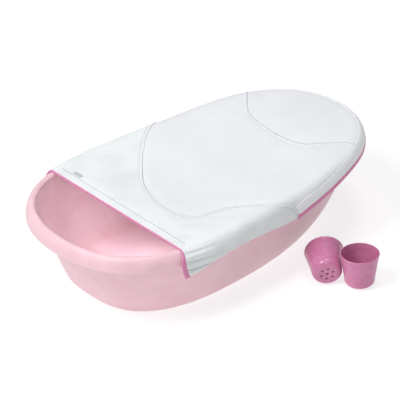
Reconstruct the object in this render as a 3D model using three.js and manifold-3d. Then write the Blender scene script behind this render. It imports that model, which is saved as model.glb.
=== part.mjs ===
// Baby bathtub with a removable fabric newborn sling and two rinse cups.
// Millimetres, +X towards the head end, +Z up, z = 0 on the underside of the tub's floor.

import * as THREE from 'three';
import { mergeVertices } from 'three/addons/utils/BufferGeometryUtils.js';
import Module from 'manifold-3d';

const wasm = await Module();
wasm.setup();

// ---------------------------------------------------------------- driving dimensions

// Both outlines are tapered ovals, |x/a|^power + |y/b|^sidePower = 1, wider at the foot end.
// The first power is the foot end's and the second the head end's.
const RIM = { centreX: -1, halfLength: 363, halfWidth: 199.5, taper: 0.133, powers: [3.4, 3.5], sidePower: 2.17 };
const BASE = { centreX: -26, halfLength: 252, halfWidth: 141, taper: 0.147, powers: [2.6, 2.1], sidePower: 2.75 };
const STATIONS = 72; // points around each outline

const RIM_HEIGHT = 171; // rim crest above the tub's underside, at mid-length
const RIM_RISE = 7; // the crest is this much higher at the head tip and lower at the foot tip
const RIM_CREST = 12; // from the rim's outer edge in to its crest
const RIM_WIDTH = 19; // from the rim's outer edge in to its inner edge
const SKIRT_DEPTH = 30; // from the crest down to the skirt's lower edge
const SKIRT_STRAIGHT = 6; // straight part of the skirt above that edge
const WALL = 3;
const BULGE = 12.5; // how far the wall swells at mid-length: twice this at the head, nothing at the foot
const BULGE_SHAPE = 0.66; // below 1 puts the fullest part of the wall under its mid-height
const BASE_RADIUS = 12; // rounding between the underside and the wall
const FLOOR_RADIUS = 22; // rounding between the inner floor and the inner wall
const LEDGE_HEIGHT = 94; // moulded water line inside the tub
const LEDGE_STEP = 1;
const WALL_LEVELS = [35, 62, 92, 122, 146]; // heights that shape the swelling wall

const FOOT = { radius: 11, height: 3, stations: 20 };
const FOOT_PLACES = {
  foot_pad_head_near: [150, -78],
  foot_pad_head_far: [150, 78],
  foot_pad_foot_near: [-196, -88],
  foot_pad_foot_far: [-196, 88],
};

const DRAIN = { x: -60, radius: 11 };
const PLUG = { flange: 17, stem: 10.6, knob: 6, height: 13, sides: 20 };

const CLOTH_GAP = 0.5; // between the sling and the rim
const CLOTH = 2.5; // thickness of a sling panel
const ELASTIC_ROOM = 1.5; // extra room between the sling's flap and the skirt for the elastic
const SAG = 14; // how far the sling dips at its middle
const SAG_START = 170; // the dip reaches its full depth this far behind the taut front edge
const HEAD_PUFF = 6; // the padded head end of the sling stands this much higher over the rim
const PAD_FOAM = 5; // thickness of the foam under the padded panel
const BINDING_EXTRA = 1.5; // a binding stands this much proud of the cloth it edges
const BINDING_WIDTH = 9;
const SEAM_GAP = 0.6; // open joint between neighbouring panels
const CREASE = 22; // from the rim's outer edge in to the seam of the head band
const FRONT_EDGE = -212; // the sling's open edge at the foot end
const FRONT_HEM = 18;
const BAND_START = 66; // where the side panels end and the head band begins
const PUFF_START = 46; // the padded head end begins to rise here
// The hem's depth below the rim's crest, from the front corners to the head tip, as [x, depth].
const HEM_LINE = [
  [-212, 56],
  [-165, 45],
  [-123, 37],
  [-80, 35.5],
  [-39, 36],
  [2, 40],
  [36, 44.5],
  [66, 46],
  [118, 38],
  [163, 31],
  [211, 23],
  [248, 19.5],
  [RIM.halfLength, 19.5],
];

const CUP = { rim: 37.9, shoulder: 29.6, height: 68, edge: 12, wall: 2, sides: 32 };
const SCOOP_PLACE = new THREE.Vector3(145, -294.5, -FOOT.height);
const STRAINER_RIM = new THREE.Vector2(130.5, -208.5); // middle of the lying cup's rim, in plan
const STRAINER_HEADING = THREE.MathUtils.degToRad(54); // where its mouth points, from +X
const STRAINER_HOLES = { radius: 2.4, ring: 12, count: 6 };

const TUB_PINK = { color: '#e3b7c3', roughness: 0.45, metalness: 0 };
const RUBBER = { color: '#6f6468', roughness: 0.8, metalness: 0 };
const WHITE_MESH = { color: '#e9ebee', roughness: 0.85, metalness: 0 };
const GREY_MESH = { color: '#d9dfe0', roughness: 0.85, metalness: 0 };
const FOAM = { color: '#f2f0ec', roughness: 0.9, metalness: 0 };
const HOT_PINK = { color: '#d96fa9', roughness: 0.7, metalness: 0 };
const ELASTIC_WHITE = { color: '#f4f2f3', roughness: 0.8, metalness: 0 };
const CUP_PINK = { color: '#d4709f', roughness: 0.4, metalness: 0 };
const LABEL_GREY = { color: '#b9bec2', roughness: 0.8, metalness: 0 };

const bathtub = new THREE.Group();

// ---------------------------------------------------------------- geometry helpers

function closed(geometry) {
  geometry.deleteAttribute('normal');
  geometry.deleteAttribute('uv');
  return mergeVertices(geometry, 1e-4);
}

function solidOf(geometry) {
  const merged = closed(geometry);
  const vertProperties = new Float32Array(merged.attributes.position.array);
  const triVerts = new Uint32Array(merged.index.array);
  return new wasm.Manifold(new wasm.Mesh({ numProp: 3, vertProperties, triVerts }));
}

function geometryOf(solid) {
  const mesh = solid.getMesh();
  const geometry = new THREE.BufferGeometry();
  geometry.setAttribute('position', new THREE.BufferAttribute(mesh.vertProperties, 3));
  geometry.setIndex(new THREE.BufferAttribute(mesh.triVerts, 1));
  return geometry;
}

// Skins a row of rings into one closed body. A ring of a single point closes an end.
function loft(rings) {
  const corners = [];
  for (let i = 0; i + 1 < rings.length; i += 1) {
    const [lower, upper] = [rings[i], rings[i + 1]];
    const count = Math.max(lower.length, upper.length);
    for (let j = 0; j < count; j += 1) {
      const next = (j + 1) % count;
      const a = lower[j % lower.length];
      const b = lower[next % lower.length];
      const c = upper[next % upper.length];
      const d = upper[j % upper.length];
      if (lower.length > 1) corners.push(a, b, c);
      if (upper.length > 1) corners.push(a, c, d);
    }
  }
  const geometry = new THREE.BufferGeometry().setFromPoints(corners);
  return closed(geometry);
}

function arc(from, to, steps) {
  const degrees = Array.from({ length: steps + 1 }, (_, i) => from + ((to - from) * i) / steps);
  return degrees.map((angle) => THREE.MathUtils.degToRad(angle));
}

function addPiece(name, geometry, look, parent = bathtub) {
  geometry.computeVertexNormals();
  const mesh = new THREE.Mesh(geometry, new THREE.MeshStandardMaterial(look));
  mesh.name = name;
  parent.add(mesh);
  return mesh;
}

// ---------------------------------------------------------------- outlines

function outline({ centreX, halfLength, halfWidth, taper, powers, sidePower }) {
  const points = arc(0, 359, 359).map((angle) => {
    const power = powers[Math.cos(angle) > 0 ? 1 : 0];
    const along = Math.sign(Math.cos(angle)) * Math.abs(Math.cos(angle)) ** (2 / power);
    const across = Math.sign(Math.sin(angle)) * Math.abs(Math.sin(angle)) ** (2 / sidePower);
    return new THREE.Vector3(centreX + halfLength * along, halfWidth * (1 - taper * along) * across, 0);
  });
  const curve = new THREE.CatmullRomCurve3(points, true);
  curve.arcLengthDivisions = 3000;
  return curve.getSpacedPoints(STATIONS).slice(0, STATIONS);
}

const rimLine = outline(RIM);
const baseLine = outline(BASE);
const outward = rimLine.map((_, j) => {
  const before = rimLine[(j + STATIONS - 1) % STATIONS];
  const after = rimLine[(j + 1) % STATIONS];
  return new THREE.Vector3(after.y - before.y, before.x - after.x, 0).normalize();
});
const stations = rimLine.map((_, j) => j);

function crestAt(x) {
  return RIM_HEIGHT + (RIM_RISE * x) / RIM.halfLength;
}

// A point of the rim's section: out from the rim's edge, and up from its crest.
function rimPoint(j, out, up) {
  return rimLine[j].clone().addScaledVector(outward[j], out).setZ(crestAt(rimLine[j].x) + up);
}

// A point of the wall, which swells between the base outline and the rim, moved in by inset.
function wallPoint(j, z, inset) {
  const top = rimLine[j].clone().addScaledVector(outward[j], WALL - RIM_WIDTH);
  const share = z / crestAt(rimLine[j].x);
  const level = share ** BULGE_SHAPE;
  const bulge = BULGE * (1 + outward[j].x) * 4 * level * (1 - level);
  return baseLine[j].clone().lerp(top, share).addScaledVector(outward[j], bulge - inset).setZ(z);
}

// The hem's depth below the crest at a place along the rim.
function hemAt(x) {
  const i = Math.max(HEM_LINE.findIndex(([end]) => end >= x), 1);
  const [[x0, y0], [x1, y1]] = [HEM_LINE[i - 1], HEM_LINE[i]];
  return THREE.MathUtils.lerp(y0, y1, THREE.MathUtils.clamp((x - x0) / (x1 - x0), 0, 1));
}

// ---------------------------------------------------------------- tub

function tubShell() {
  const rings = [[new THREE.Vector3(BASE.centreX, 0, 0)]];
  const addRim = (out, up) => rings.push(stations.map((j) => rimPoint(j, out, up)));
  const addWall = (z, inset) => rings.push(stations.map((j) => wallPoint(j, z, inset)));
  const straight = SKIRT_DEPTH - SKIRT_STRAIGHT;

  for (const angle of arc(0, 90, 5)) {
    addWall(BASE_RADIUS * (1 - Math.cos(angle)), BASE_RADIUS * (1 - Math.sin(angle)));
  }
  for (const z of WALL_LEVELS) addWall(z, 0);
  addRim(WALL - RIM_WIDTH, -WALL - 5);
  for (const angle of arc(90, 0, 3)) {
    addRim(-RIM_CREST + (RIM_CREST - WALL) * Math.cos(angle), -straight + (straight - WALL) * Math.sin(angle));
  }
  addRim(-WALL, -SKIRT_DEPTH);
  addRim(0, -SKIRT_DEPTH);
  for (const angle of arc(0, 90, 4)) {
    addRim(-RIM_CREST + RIM_CREST * Math.cos(angle), -straight + straight * Math.sin(angle));
  }
  const lip = 5;
  for (const angle of arc(90, 180, 3)) {
    addRim(lip - RIM_WIDTH + lip * Math.cos(angle), -lip + lip * Math.sin(angle));
  }
  const above = WALL_LEVELS.filter((z) => z > LEDGE_HEIGHT + 10);
  const below = WALL_LEVELS.filter((z) => z < LEDGE_HEIGHT - 10);
  for (const z of above.reverse()) addWall(z, WALL);
  addWall(LEDGE_HEIGHT + LEDGE_STEP, WALL - LEDGE_STEP / 2);
  addWall(LEDGE_HEIGHT, WALL + LEDGE_STEP / 2);
  for (const z of below.reverse()) addWall(z, WALL);
  for (const angle of arc(90, 0, 5)) {
    addWall(WALL + FLOOR_RADIUS * (1 - Math.cos(angle)), WALL + FLOOR_RADIUS * (1 - Math.sin(angle)));
  }
  rings.push([new THREE.Vector3(BASE.centreX, 0, WALL)]);

  const drain = new THREE.CylinderGeometry(DRAIN.radius, DRAIN.radius, 6 * WALL, 32);
  drain.rotateX(Math.PI / 2).translate(DRAIN.x, 0, 0);
  return geometryOf(solidOf(loft(rings)).subtract(solidOf(drain)));
}

function footPad() {
  const top = -0.3;
  const edge = 1;
  const profile = [
    [0, -FOOT.height],
    [FOOT.radius - edge, -FOOT.height],
    [FOOT.radius, -FOOT.height + edge],
    [FOOT.radius, top],
    [0, top],
  ];
  return turned(profile, FOOT.stations);
}

function drainPlug() {
  const seat = WALL + 0.3;
  const profile = [
    [0, -1],
    [PLUG.stem - 1, -1],
    [PLUG.stem, 0],
    [PLUG.stem, seat],
    [PLUG.flange, seat],
    [PLUG.flange, seat + 1],
    [PLUG.flange - 3, seat + 3],
    [PLUG.knob - 1, seat + 3.5],
    [PLUG.knob - 2, seat + 6],
    [PLUG.knob, PLUG.height - 2],
    [PLUG.knob - 1.5, PLUG.height],
    [0, PLUG.height],
  ];
  return turned(profile, PLUG.sides);
}

// Turns a [radius, z] profile about +Z. The profile starts and ends on the axis.
function turned(profile, sides) {
  const points = profile.map(([radius, z]) => new THREE.Vector2(radius, z));
  return closed(new THREE.LatheGeometry(points, sides).rotateX(Math.PI / 2));
}

// ---------------------------------------------------------------- sling

// One skin of the sling, from its middle out over the rim and down past its hem by extra.
function skin(lift, extra) {
  const middle = new THREE.Vector3(0, 0, 0);
  const straight = SKIRT_DEPTH - SKIRT_STRAIGHT;
  const rings = [[middle.clone().setZ(crestAt(0) + lift - SAG)]];
  for (const share of [0.4, 0.75]) {
    rings.push(
      stations.map((j) => {
        const point = middle.clone().lerp(rimPoint(j, -CREASE, 0), share);
        const slack = THREE.MathUtils.smoothstep(point.x, FRONT_EDGE, FRONT_EDGE + SAG_START);
        return point.setZ(crestAt(point.x) + lift + headPuff(point.x) - SAG * slack * (1 - share * share));
      }),
    );
  }
  rings.push(stations.map((j) => rimPoint(j, -CREASE, lift + headPuff(rimLine[j].x))));
  for (const angle of arc(90, 0, 3)) {
    const out = (RIM_CREST + lift + ELASTIC_ROOM) * Math.cos(angle) - RIM_CREST;
    rings.push(
      stations.map((j) => {
        const low = Math.min(straight, hemAt(rimLine[j].x) - 5);
        const rise = low + lift + headPuff(rimLine[j].x);
        return rimPoint(j, out, rise * Math.sin(angle) - low);
      }),
    );
  }
  rings.push(stations.map((j) => rimPoint(j, lift + ELASTIC_ROOM, -hemAt(rimLine[j].x) - extra)));
  return rings;
}

function headPuff(x) {
  return HEAD_PUFF * THREE.MathUtils.smoothstep(x, PUFF_START, RIM.halfLength / 2);
}

function slingBody(thickness, extra) {
  const under = skin(CLOTH_GAP, extra);
  const over = skin(CLOTH_GAP + thickness, extra);
  return solidOf(loft([...under, ...over.reverse()]));
}

// A closed body that follows the hem from one station to another, with an [out, up from hem] section.
function hemStrip(section, first, last) {
  const rings = [];
  for (let j = last; j >= first; j -= 1) {
    const at = (j + STATIONS) % STATIONS;
    rings.push(section.map(([out, up]) => rimPoint(at, out, up - hemAt(rimLine[at].x))));
  }
  const middle = (ring) => ring.reduce((sum, p) => sum.add(p), new THREE.Vector3()).divideScalar(ring.length);
  return loft([[middle(rings[0])], ...rings, [middle(rings.at(-1))]]);
}

function prism(points) {
  const shape = new THREE.Shape(points.map(([x, y]) => new THREE.Vector2(x, y)));
  return solidOf(new THREE.ExtrudeGeometry(shape, { depth: 2 * RIM_HEIGHT, bevelEnabled: false }));
}

function smooth(points, count = 24) {
  const curve = new THREE.CatmullRomCurve3(points.map(([x, y]) => new THREE.Vector3(x, y, 0)));
  return curve.getSpacedPoints(count).map((p) => [p.x, p.y]);
}

// A thin upright wall along a seam, which leaves the open joint between two panels.
function seamWall(points, gap) {
  const side = (sign) =>
    points.map(([x, y], i) => {
      const [x0, y0] = points[Math.max(i - 1, 0)];
      const [x1, y1] = points[Math.min(i + 1, points.length - 1)];
      const step = (sign * gap) / 2 / Math.hypot(x1 - x0, y1 - y0);
      return [x - (y1 - y0) * step, y + (x1 - x0) * step];
    });
  return prism([...side(1), ...side(-1).reverse()]);
}

// Cuts a solid along a seam. The seam's points and the closing points bound the inner part.
function splitAt(solid, seam, closing, gap) {
  const open = solid.subtract(seamWall(seam, gap));
  const region = prism([...seam, ...closing]);
  return [open.intersect(region), open.subtract(region)];
}

function slab(x0, x1) {
  const reach = 600;
  return solidOf(new THREE.BoxGeometry(x1 - x0, reach, reach).translate((x0 + x1) / 2, 0, RIM_HEIGHT));
}

// Seams in plan. A side panel's seam leaves the front corner, comes inward along the hip and
// runs out over the rim; the padded panel's seam is a bowl towards the foot end.
const NEAR_SEAM = [
  ...smooth([
    [-232, -205], [-190, -182], [-135, -160], [-105, -147], [-85, -135], [-68, -127], [-48, -131], [-24, -148],
    [-8, -166], [10, -183], [29, -193.5], [52, -199], [BAND_START, -206],
  ], 40),
  [BAND_START + 4, -260],
];
const FAR_SEAM = [
  ...smooth([
    [-232, 205], [-190, 182], [-128, 157], [-75, 142], [-42, 137], [-33, 136], [-15, 153], [5, 169], [24, 182],
    [45, 195], [60, 200], [BAND_START, 206],
  ], 40),
  [BAND_START + 4, 260],
];
const PAD_SEAM = smooth([
  [-60, -150], [-66, -134], [-74, -125.5], [-90, -125], [-107, -124], [-119, -114], [-134, -88], [-138.5, -63],
  [-137, -32], [-129, 0], [-114, 36], [-98, 61], [-83, 80], [-66, 100], [-51, 117], [-36, 132], [-30, 140], [-28, 160],
], 40);
const HEAD_SEAM = smooth([
  [288, -156], [272, -136], [253, -110], [238, -93], [223, -77], [209, -62], [202, -44], [197, -12], [196, 13],
  [197.5, 40], [199, 62], [203, 89], [215, 112], [236, 137], [256, 160],
], 30);

// Cuts a sling-shaped body into its panels, with an open joint of this width at each seam.
function cutPanels(body, gap) {
  const far = 400;
  const panels = {};
  let rest = body.intersect(slab(FRONT_EDGE, far));
  const nearClosing = [[BAND_START + 4, -far], [-far, -far]];
  const farClosing = [[BAND_START + 4, far], [-far, far]];
  [panels.near, rest] = splitAt(rest, NEAR_SEAM, nearClosing, gap);
  [panels.far, rest] = splitAt(rest, FAR_SEAM, farClosing, gap);

  const crease = [];
  for (let j = -STATIONS / 2; j < STATIONS / 2; j += 1) {
    const point = rimPoint((j + STATIONS) % STATIONS, -CREASE, 0);
    if (point.x > -10) crease.push([point.x, point.y]);
  }
  let inner;
  [inner, panels.band] = splitAt(rest, crease, [[-far, far], [-far, -far]], gap);
  [panels.head, inner] = splitAt(inner, HEAD_SEAM, [[far, 160], [far, -156]], gap);

  const hemLine = [[FRONT_EDGE + FRONT_HEM, -far], [FRONT_EDGE + FRONT_HEM, far]];
  [panels.hem, inner] = splitAt(inner, hemLine, [[-far, far], [-far, -far]], gap);
  const padClosing = [[-28, far], [far, far], [far, -far], [-60, -far]];
  [panels.centre, panels.front] = splitAt(inner, PAD_SEAM, padClosing, gap);
  return panels;
}

// The head band's hem is cut back to leave room for its binding.
function headBand(band) {
  const top = BINDING_WIDTH - 3 + 0.4;
  const room = [[-6, -40], [20, -40], [20, top], [-6, top]];
  return band.subtract(solidOf(hemStrip(room, ...headStations())));
}

// The stations of the head band's hem, from the near side panel round to the far one.
function headStations() {
  const count = stations.filter((j) => j < STATIONS / 2 && rimLine[j].x > BAND_START + 6).length;
  return [1 - count, count - 1];
}

function headBinding() {
  const inside = CLOTH_GAP + ELASTIC_ROOM - 0.3;
  const outside = CLOTH_GAP + ELASTIC_ROOM + CLOTH + 0.7;
  const bottom = -3;
  const top = bottom + BINDING_WIDTH;
  const section = [[inside, bottom], [outside, bottom], [outside, top], [inside, top]];
  return hemStrip(section, ...headStations());
}

function hemElastic() {
  const count = stations.filter((j) => j < STATIONS / 2 && rimLine[j].x > FRONT_EDGE + 12).length;
  const [inside, outside] = [0.4, 1.3];
  const [bottom, top] = [-1, 6];
  return hemStrip([[inside, bottom], [outside, bottom], [outside, top], [inside, top]], 1 - count, count - 1);
}

function frontBinding() {
  const room = slab(FRONT_EDGE - BINDING_WIDTH + 3, FRONT_EDGE - 0.4);
  return slingBody(CLOTH + BINDING_EXTRA, 2).intersect(room);
}

// A layer under the padded panel, between two levels, inset from its seams.
function padLayer(from, to, inset) {
  const level = (z) => skin(z, 0).slice(0, 5);
  const layer = solidOf(loft([...level(from), ...level(to).reverse()]));
  return cutPanels(layer, 2 * inset).centre;
}

function tag() {
  const [length, width, thickness] = [22, 9, 0.8];
  const [x, y] = [FRONT_EDGE + FRONT_HEM + 7, 142];
  const z = crestAt(x) + CLOTH_GAP + CLOTH + thickness;
  return new THREE.BoxGeometry(width, length, thickness).rotateX(-0.03).translate(x, y, z);
}

// ---------------------------------------------------------------- cups

function cupProfile() {
  const { rim, shoulder, height, edge, wall } = CUP;
  const outside = arc(-90, 0, 4).map((a) => [shoulder - edge + edge * Math.cos(a), edge + edge * Math.sin(a)]);
  const inside = arc(0, -90, 4).map((a) => [
    shoulder - edge + (edge - wall) * Math.cos(a),
    edge + (edge - wall) * Math.sin(a),
  ]);
  const lip = [[rim - 0.5, height], [rim - wall, height], [rim - wall - 0.4, height - 0.8]];
  return [[0, 0], ...outside, [rim, height - 0.6], ...lip, ...inside, [0, wall]];
}

function strainerGeometry() {
  const { radius, ring, count } = STRAINER_HOLES;
  let cup = solidOf(turned(cupProfile(), CUP.sides));
  const places = [[0, 0]];
  for (let i = 0; i < count; i += 1) {
    const angle = (i / count) * 2 * Math.PI;
    places.push([ring * Math.cos(angle), ring * Math.sin(angle)]);
  }
  for (const [x, y] of places) {
    const hole = new THREE.CylinderGeometry(radius, radius, 6 * CUP.wall, 10);
    cup = cup.subtract(solidOf(hole.rotateX(Math.PI / 2).translate(x, y, 0)));
  }
  return geometryOf(cup);
}

// The strainer cup lies on its side: its wall, not its axis, is level.
function layStrainer(mesh) {
  const tilt = Math.atan2(CUP.rim - CUP.shoulder, CUP.height - CUP.edge);
  const mouth = new THREE.Vector3(Math.cos(STRAINER_HEADING), Math.sin(STRAINER_HEADING), 0);
  mouth.multiplyScalar(Math.cos(tilt)).setZ(Math.sin(tilt));
  const height = CUP.rim * Math.cos(tilt) - FOOT.height + 0.1;
  mesh.quaternion.setFromUnitVectors(new THREE.Vector3(0, 0, 1), mouth);
  mesh.position.set(STRAINER_RIM.x, STRAINER_RIM.y, height).addScaledVector(mouth, -CUP.height);
}

// ---------------------------------------------------------------- assembly

addPiece('tub_shell', tubShell(), TUB_PINK);
for (const [name, [x, y]] of Object.entries(FOOT_PLACES)) {
  addPiece(name, footPad(), RUBBER).position.set(x, y, 0);
}
addPiece('drain_plug', drainPlug(), RUBBER).position.x = DRAIN.x;

const panels = cutPanels(slingBody(CLOTH, 0), SEAM_GAP);
addPiece('sling_front_panel', geometryOf(panels.front), GREY_MESH);
addPiece('sling_front_hem', geometryOf(panels.hem), GREY_MESH);
addPiece('sling_centre_panel', geometryOf(panels.centre), WHITE_MESH);
addPiece('sling_head_panel', geometryOf(panels.head), WHITE_MESH);
addPiece('sling_head_band', geometryOf(headBand(panels.band)), WHITE_MESH);
addPiece('sling_side_panel_near', geometryOf(panels.near), GREY_MESH);
addPiece('sling_side_panel_far', geometryOf(panels.far), GREY_MESH);
addPiece('sling_pad_foam', geometryOf(padLayer(-PAD_FOAM - 0.6, -0.6, 9)), FOAM);
addPiece('sling_pad_lining', geometryOf(padLayer(-PAD_FOAM - 2.7, -PAD_FOAM - 1.4, 6)), WHITE_MESH);
addPiece('sling_front_binding', geometryOf(frontBinding()), HOT_PINK);
addPiece('sling_head_binding', headBinding(), HOT_PINK);
addPiece('sling_hem_elastic', hemElastic(), ELASTIC_WHITE);
addPiece('sling_tag', tag(), LABEL_GREY);

addPiece('scoop_cup', turned(cupProfile(), CUP.sides), CUP_PINK).position.copy(SCOOP_PLACE);
layStrainer(addPiece('strainer_cup', strainerGeometry(), CUP_PINK));

export default bathtub;
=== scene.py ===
"""Baby bathtub with a fabric newborn sling and two rinse cups: the visual model, in metres."""
import math

import bmesh
import bpy
import numpy as np
from mathutils import Matrix, Vector


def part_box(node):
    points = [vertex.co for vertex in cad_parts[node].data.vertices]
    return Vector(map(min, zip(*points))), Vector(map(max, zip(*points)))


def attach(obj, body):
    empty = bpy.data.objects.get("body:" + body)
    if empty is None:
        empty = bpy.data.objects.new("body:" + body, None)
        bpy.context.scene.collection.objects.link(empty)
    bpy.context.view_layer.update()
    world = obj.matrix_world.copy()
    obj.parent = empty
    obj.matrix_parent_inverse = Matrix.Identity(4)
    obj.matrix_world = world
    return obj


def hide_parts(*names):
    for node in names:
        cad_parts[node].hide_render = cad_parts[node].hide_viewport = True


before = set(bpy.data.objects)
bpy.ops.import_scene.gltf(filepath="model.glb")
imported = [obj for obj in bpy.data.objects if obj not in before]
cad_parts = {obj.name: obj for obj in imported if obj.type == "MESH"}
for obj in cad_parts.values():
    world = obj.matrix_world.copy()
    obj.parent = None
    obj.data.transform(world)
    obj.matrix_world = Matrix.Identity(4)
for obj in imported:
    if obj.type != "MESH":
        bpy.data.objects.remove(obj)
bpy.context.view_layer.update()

MM = 0.001
TUB_LOW, TUB_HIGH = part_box("tub_shell")
FLOOR_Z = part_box("scoop_cup")[0].z

# ------------------------------------------------------------------ driving dimensions

STATIONS = 288  # points around the rim
RIM_POWERS, RIM_SIDE_POWER, RIM_TAPER = (3.4, 3.5), 2.17, 0.133
BASE_POWERS, BASE_SIDE_POWER, BASE_TAPER = (2.6, 2.1), 2.75, 0.147
BASE_CENTRE, BASE_HALF_LENGTH, BASE_HALF_WIDTH = -26 * MM, 252 * MM, 141 * MM
BULGE, BULGE_SHAPE = 12.5 * MM, 0.66  # how far the wall swells at mid-length, and how low

RIM_RISE = 7 * MM  # the crest is this much higher at the head tip than at mid-length
RIM_CREST = 12 * MM
RIM_WIDTH = 19 * MM
SKIRT_DEPTH = 30 * MM
SKIRT_STRAIGHT = 6 * MM
WALL = 3 * MM
BASE_RADIUS = 12 * MM
FLOOR_RADIUS = 22 * MM
LEDGE_HEIGHT = 94 * MM
# The water line's moulding from above to below, as (height over the ledge, inset), in millimetres.
LEDGE_STEPS = [
    (50, 0), (20, 0), (6, 0), (3.2, 0), (2.2, -0.35), (1.4, -0.9), (0.7, -0.9), (0, 0.1), (-0.8, 0.5),
    (-4, 0.35),
]
DRAIN_RADIUS = 11 * MM

CLOTH_GAP = 0.5 * MM
CLOTH = 1.6 * MM
ELASTIC_ROOM = 1.5 * MM
SAG = 14 * MM
SAG_START = 170 * MM
HEAD_PUFF = 6 * MM
CREASE = 22 * MM
FRONT_EDGE = -212 * MM
FRONT_HEM = 18 * MM
PUFF_START, PUFF_END = 100 * MM, 250 * MM
HEM_END = 69 * MM  # where the side panel's seam meets the hem
# The hem's depth below the rim's crest, from the front corners to the head tip, in millimetres.
HEM_LINE = [
    (-212, 56), (-165, 45), (-123, 37), (-80, 35.5), (-39, 36), (2, 40), (36, 44.5), (66, 46),
    (118, 38), (163, 31), (211, 23), (248, 19.5), (363, 19.5),
]

# Seams in plan, in millimetres. Past the crease ring they go on as (x along the rim, distance
# beyond the ring). The side seams run from the front edge to the padded panel's seam, on over the
# rim and down to the hem; the far one is written as if it were on the near side.
NEAR_INNER = [
    (-180, -176), (-135, -160), (-105, -147), (-85, -135), (-68, -127), (-48, -131), (-24, -148), (-8, -166),
]
NEAR_OVER = [(9, 5), (29, 21.5), (52, 32.5), (66, 46)]
FAR_INNER = [
    (-180, -176), (-128, -157), (-75, -142), (-42, -137), (-33, -136), (-27, -141), (-15, -153), (5, -169),
]
FAR_OVER = [(26, 6.5), (45, 22), (59, 34), (67, 48)]
PAD_SEAM = [
    (-68, -127), (-90, -125), (-107, -124), (-119, -114), (-134, -88), (-138.5, -63), (-137, -32), (-129, 0),
    (-114, 36), (-98, 61), (-83, 80), (-66, 100), (-51, 117), (-33, 136),
]
HEAD_SEAM = [
    (288, -156), (272, -136), (253, -110), (238, -93), (223, -77), (209, -62), (202, -44), (197, -12),
    (196, 13), (197.5, 40), (199, 62), (203, 89), (215, 112), (236, 137), (256, 160),
]
# How far the padded panels reach beyond the crease ring, along the rim.
PAD_REACH = [
    (65, 40), (98, 33), (125, 31), (156, 29), (187, 26), (220, 21.5), (246, 17.5), (273, 15.5), (363, 13),
]
SWING = 9 * MM  # how far the flap's front edge swings towards the head at its hem


# ------------------------------------------------------------------ outlines and sections

def unit(vectors):
    return vectors / np.linalg.norm(vectors, axis=1)[:, None]


def columns_at(wanted, places, values):
    """Each column of values, read by interpolation."""
    return np.stack([np.interp(wanted, places, column) for column in np.transpose(values)], -1)


def distances_along(points):
    """Each point's distance along a polyline."""
    return np.concatenate([[0], np.cumsum(np.linalg.norm(np.diff(points, axis=0), axis=1))])


def resampled(points, count, closed=False):
    """Points spaced evenly along a polyline. A closed one doesn't repeat its first point."""
    points = np.asarray(points, float)
    if closed:
        points = np.vstack([points, points[:1]])
    along = distances_along(points)
    wanted = np.linspace(0, along[-1], count + 1)[:-1] if closed else np.linspace(0, along[-1], count)
    return columns_at(wanted, along, points)


def oval(centre, half_length, half_width, taper, powers, side_power, count=STATIONS):
    """A tapered oval in plan, from the head tip round counter-clockwise."""
    angle = np.linspace(0, 2 * np.pi, 4001)[:-1]
    c, s = np.cos(angle), np.sin(angle)
    power = np.where(c > 0, powers[1], powers[0])
    along = np.sign(c) * np.abs(c) ** (2 / power)
    across = np.sign(s) * np.abs(s) ** (2 / side_power)
    x = centre + half_length * along
    y = half_width * (1 - taper * along) * across
    return resampled(np.stack([x, y], -1), count, closed=True)


UNIT = oval(0, 1, 1, RIM_TAPER, RIM_POWERS, RIM_SIDE_POWER)
RIM_LINE = np.stack([
    (TUB_LOW.x + TUB_HIGH.x) / 2 + UNIT[:, 0] * (TUB_HIGH.x - TUB_LOW.x) / 2,
    UNIT[:, 1] / UNIT[:, 1].max() * TUB_HIGH.y,
], -1)
RIM_LINE = resampled(RIM_LINE, STATIONS, closed=True)
BASE_LINE = oval(BASE_CENTRE, BASE_HALF_LENGTH, BASE_HALF_WIDTH, BASE_TAPER, BASE_POWERS, BASE_SIDE_POWER)
_ahead = np.roll(RIM_LINE, -1, 0) - np.roll(RIM_LINE, 1, 0)
OUTWARD = unit(np.stack([_ahead[:, 1], -_ahead[:, 0]], -1))
RIM_HEIGHT = TUB_HIGH.z - RIM_RISE
HEAD_REACH = TUB_HIGH.x


def crest_at(x):
    return RIM_HEIGHT + RIM_RISE * x / HEAD_REACH


def at_station(values, station):
    """Values kept once per station, read at any real station number."""
    wrapped = np.vstack([values, values[:1]])
    return columns_at(np.mod(station, STATIONS), np.arange(STATIONS + 1), wrapped)


def rim_point(station, out, up):
    """A point of the rim's section: out from its outer edge, and up from its crest."""
    line = at_station(RIM_LINE, station)
    plan = line + at_station(OUTWARD, station) * np.asarray(out)[..., None]
    return np.concatenate([plan, (crest_at(line[..., 0]) + up)[..., None]], -1)


def wall_ring(z, inset):
    top = RIM_LINE + OUTWARD * (WALL - RIM_WIDTH)
    share = (z / crest_at(RIM_LINE[:, 0]))[:, None]
    level = np.maximum(share, 0) ** BULGE_SHAPE
    bulge = BULGE * (1 + OUTWARD[:, :1]) * 4 * level * (1 - level)
    plan = BASE_LINE * (1 - share) + top * share + OUTWARD * (bulge - inset)
    return np.column_stack([plan, np.full(STATIONS, z)])


def rim_ring(out, up):
    return rim_point(np.arange(STATIONS), np.full(STATIONS, out), np.full(STATIONS, up))


def smooth_curve(points, count=60):
    """A smooth plan curve through a few points, given in millimetres."""
    points = np.asarray(points, float) * MM
    padded = np.vstack([2 * points[0] - points[1], points, 2 * points[-1] - points[-2]])
    out = []
    for i in range(1, len(padded) - 2):
        a, b, c, d = padded[i - 1 : i + 3]
        for t in np.linspace(0, 1, 17)[:-1]:
            bend, twist = 2 * a - 5 * b + 4 * c - d, 3 * b - a - 3 * c + d
            out.append(0.5 * (2 * b + (c - a) * t + bend * t**2 + twist * t**3))
    out.append(padded[-2])
    return resampled(out, count)


# ------------------------------------------------------------------ mesh helpers

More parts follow.
